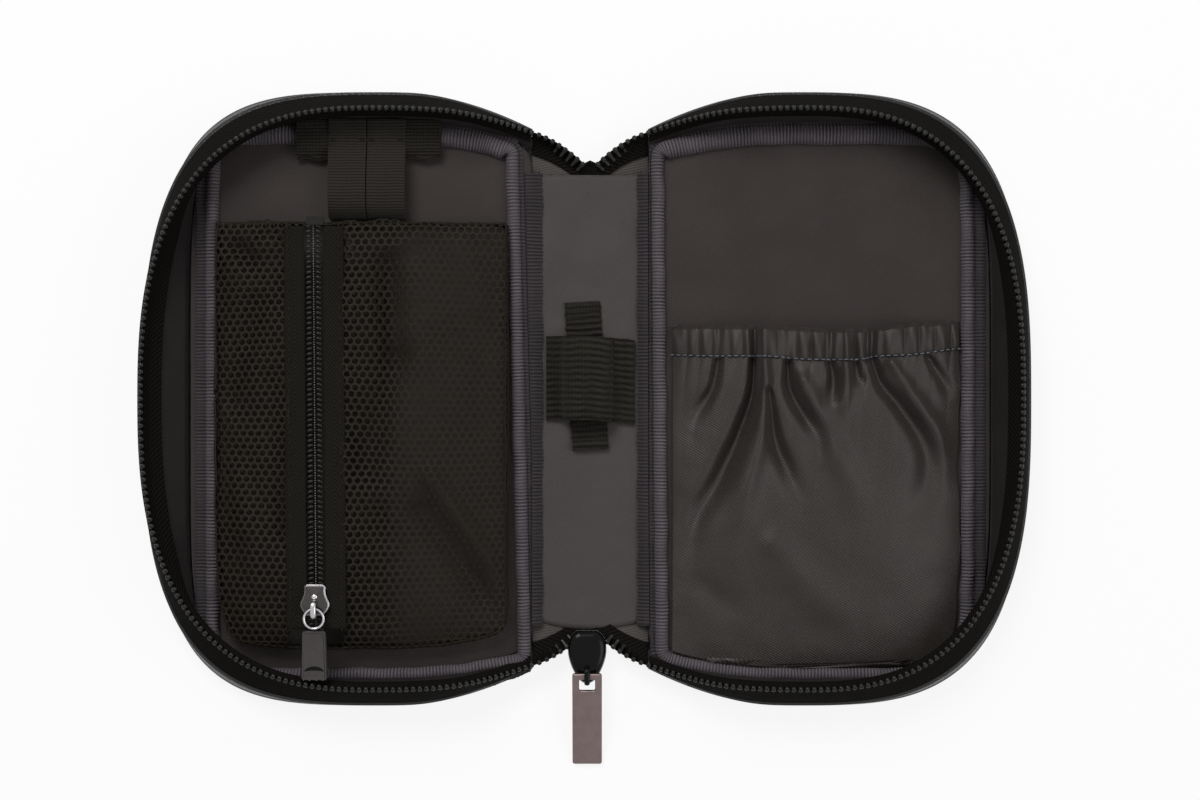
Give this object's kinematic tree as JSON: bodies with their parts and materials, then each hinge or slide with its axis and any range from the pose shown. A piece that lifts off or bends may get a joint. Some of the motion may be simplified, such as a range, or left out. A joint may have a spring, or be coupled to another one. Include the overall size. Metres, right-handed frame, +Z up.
{
  "type": "zip-around storage case",
  "caption": "Soft zip-around case, lying open: two padded trays on a fabric spine, with a zipped mesh pouch, a gathered slip pocket and elastic loops.",
  "frame": {"origin": "on the table under the middle of the spine, on the rest face", "axes": "+X across the two open trays, +Y towards the top end of the spine, +Z up from the table"},
  "size_m": [0.2322, 0.1786, 0.0208],
  "materials": {
    "cover_leather": "soft black imitation leather with a fine grain",
    "trim_leather": "black imitation leather, turned over a piping",
    "padding_foam": "closed-cell foam sheet, hidden",
    "lining_cloth": "woven polyester lining",
    "grosgrain_tape": "ribbed binding tape",
    "zip_cloth": "woven zip tape",
    "zip_coil": "moulded nylon coil",
    "elastic_webbing": "ribbed elastic webbing",
    "mesh_net": "knitted mesh net",
    "pocket_cloth": "woven polyester with a soft sheen",
    "dark_nickel": "dark nickel plate",
    "black_enamel": "gloss black enamel",
    "gunmetal_plate": "satin gunmetal plate"
  },
  "bodies": {
    "spine": {"spine_cover": "cover_leather", "spine_board": "padding_foam", "spine_lining": "lining_cloth", "zip_end_tab_top": "zip_cloth", "zip_end_tab_bottom": "zip_cloth", "zip_end_teeth_top_left": "zip_coil", "zip_end_teeth_top_right": "zip_coil", "zip_end_teeth_bottom_left": "zip_coil", "zip_end_teeth_bottom_right": "zip_coil", "pen_loop_strap": "elastic_webbing", "pen_loop_band": "elastic_webbing", "main_slider": "black_enamel", "main_slider_bail": "dark_nickel"},
    "left_shell": {"left_cover": "cover_leather", "left_piping": "trim_leather", "left_foam": "padding_foam", "left_lining": "lining_cloth", "left_gusset": "trim_leather", "left_gusset_lining": "lining_cloth", "left_zip_tape": "zip_cloth", "left_zip_teeth": "zip_coil", "left_binding": "grosgrain_tape", "loop_base": "elastic_webbing", "elastic_loop_inner": "elastic_webbing", "elastic_loop_outer": "elastic_webbing", "mesh_gusset": "mesh_net", "mesh_panel_inner": "mesh_net", "mesh_panel_outer": "mesh_net", "pouch_tape_inner": "zip_cloth", "pouch_tape_outer": "zip_cloth", "pouch_zip_teeth": "zip_coil", "pouch_stop_top": "dark_nickel", "pouch_stop_bottom": "dark_nickel"},
    "right_shell": {"right_cover": "cover_leather", "right_piping": "trim_leather", "right_foam": "padding_foam", "right_lining": "lining_cloth", "right_gusset": "trim_leather", "right_gusset_lining": "lining_cloth", "right_zip_tape": "zip_cloth", "right_zip_teeth": "zip_coil", "right_binding": "grosgrain_tape", "pocket_front": "pocket_cloth", "pocket_hem": "pocket_cloth"},
    "main_pull": {"main_pull_tab": "gunmetal_plate"},
    "pouch_slider": {"pouch_slider": "dark_nickel", "pouch_slider_bail": "dark_nickel"},
    "pouch_pull": {"pouch_pull_ring": "dark_nickel", "pouch_pull_tab": "dark_nickel"}
  },
  "joints": [
    {"name": "left_fold", "type": "hinge", "parent": "spine", "child": "left_shell", "pos_m": [-0.015, 0, 0.0032], "axis": [0, 1, 0], "range_deg": [0, 90]},
    {"name": "right_fold", "type": "hinge", "parent": "spine", "child": "right_shell", "pos_m": [0.015, 0, 0.0032], "axis": [0, -1, 0], "range_deg": [0, 90]},
    {"name": "main_pull_swing", "type": "hinge", "parent": "spine", "child": "main_pull", "pos_m": [-0.0008, -0.0731, 0.00875], "axis": [-1, 0, 0], "range_deg": [0, 190]},
    {"name": "pouch_slide", "type": "slide", "parent": "left_shell", "child": "pouch_slider", "axis": [0, 1, 0], "range_m": [0, 0.092]},
    {"name": "pouch_pull_swing", "type": "hinge", "parent": "pouch_slider", "child": "pouch_pull", "pos_m": [-0.0716, -0.0548, 0.01885], "axis": [-1, 0, 0], "range_deg": [0, 185]}
  ]
}
